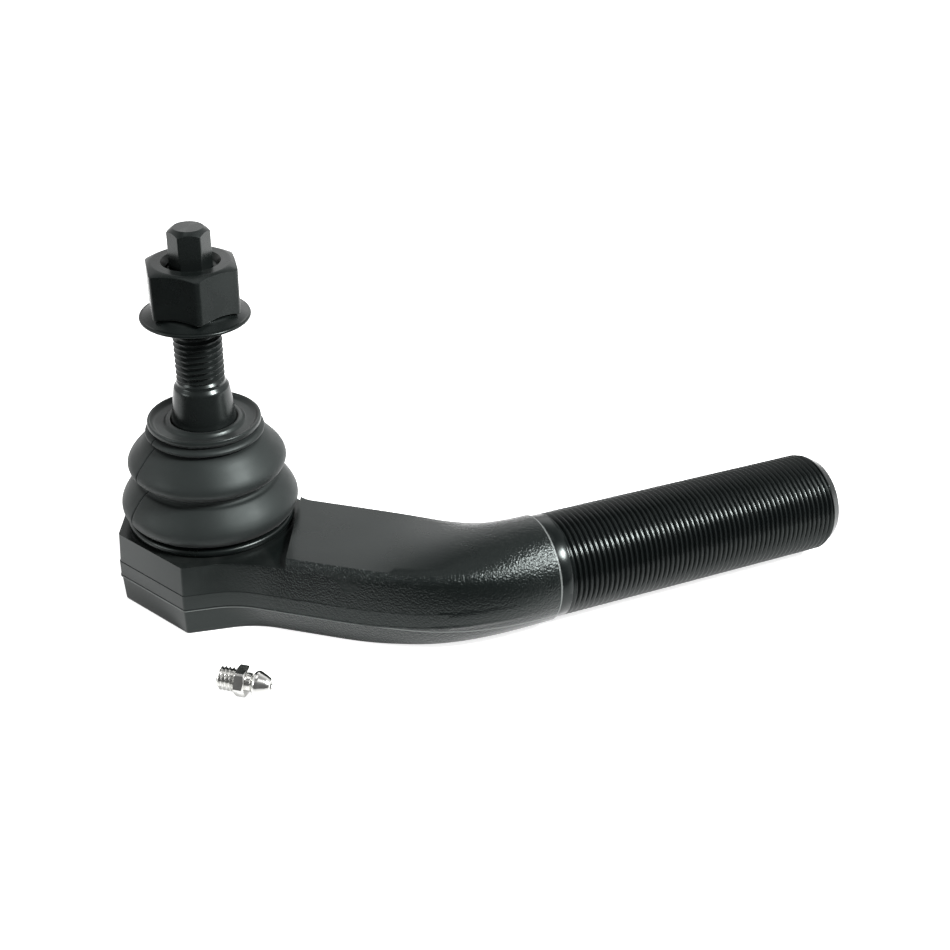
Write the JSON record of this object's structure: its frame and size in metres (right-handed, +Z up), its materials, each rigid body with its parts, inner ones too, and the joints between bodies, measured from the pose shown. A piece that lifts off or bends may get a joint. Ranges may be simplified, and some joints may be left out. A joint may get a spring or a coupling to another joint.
{
  "type": "tie rod end",
  "caption": "Offset tie rod end: forged socket and bent arm with a threaded shank, a swivelling ball stud in a rubber boot, a captive-washer nut and a loose grease fitting.",
  "frame": {"origin": "centre of the ball, 17.3 mm above the flat base the part stands on", "axes": "+Z up the stud, +X parallel to the threaded shank, away from the head"},
  "size_m": [0.1847, 0.0874, 0.1012],
  "materials": {
    "forging": "gloss black coating over an as-forged skin, machined flats smoother",
    "bearing_metal": "sintered metal, oiled",
    "bearing_polymer": "natural acetal, greased",
    "spring_steel": "hardened spring steel, oiled",
    "cover_steel": "pressed steel, zinc plated",
    "seal_rubber": "moulded nitrile",
    "stud_steel": "black phosphate over machined steel",
    "boot_rubber": "satin moulded rubber",
    "clamp_steel": "black coated steel",
    "ring_rubber": "satin rubber moulded over steel",
    "nut_steel": "black coated steel, satin",
    "fitting_plate": "bright zinc plate",
    "ball_steel": "polished hardened ball"
  },
  "bodies": {
    "housing": {"forged_body": "forging", "upper_bearing": "bearing_metal", "lower_bearing": "bearing_polymer", "preload_spring": "spring_steel", "cover_plate": "cover_steel", "cover_seal": "seal_rubber", "snap_ring": "spring_steel", "boot_clamp_ring": "clamp_steel"},
    "boot": {"dust_boot": "boot_rubber"},
    "collar": {"boot_ring": "ring_rubber"},
    "stud": {"ball_stud": "stud_steel"},
    "washer": {"nut_washer": "nut_steel"},
    "nut": {"hex_nut": "nut_steel"},
    "fitting": {"grease_fitting": "fitting_plate", "fitting_spring": "spring_steel"},
    "fitting_ball": {"check_ball": "ball_steel"}
  },
  "joints": [
    {"name": "stud_swing_across", "type": "hinge", "parent": "housing", "child": "boot", "pos_m": [0, 0, 0], "axis": [1, 0, 0], "range_deg": [-17, 17], "deforming": ["dust_boot"]},
    {"name": "stud_swing_along", "type": "hinge", "parent": "boot", "child": "collar", "pos_m": [0, 0, 0], "axis": [0, 1, 0], "range_deg": [-17, 17]},
    {"name": "stud_spin", "type": "hinge", "parent": "collar", "child": "stud", "pos_m": [0, 0, 0], "axis": [0, 0, 1], "continuous": true},
    {"name": "nut_travel", "type": "slide", "parent": "stud", "child": "washer", "axis": [0, 0, 1], "range_m": [-0.0145, 0.012]},
    {"name": "nut_turn", "type": "hinge", "parent": "washer", "child": "nut", "pos_m": [0, 0, 0], "axis": [0, 0, 1], "range_deg": [-3481, 2881]},
    {"name": "fitting_lift", "type": "slide", "parent": "housing", "child": "fitting", "axis": [0, 0, 1], "range_m": [0, 0.04]},
    {"name": "check_ball_travel", "type": "slide", "parent": "fitting", "child": "fitting_ball", "axis": [-0.7902, 0.6129, 0], "range_m": [0, 0.0008], "stiffness_N_per_m": 60, "springref_m": -0.0005, "deforming": ["fitting_spring"]}
  ],
  "couplings": [
    {"joint": "nut_turn", "follows": "nut_travel", "rad_per_m": 4188.8}
  ]
}
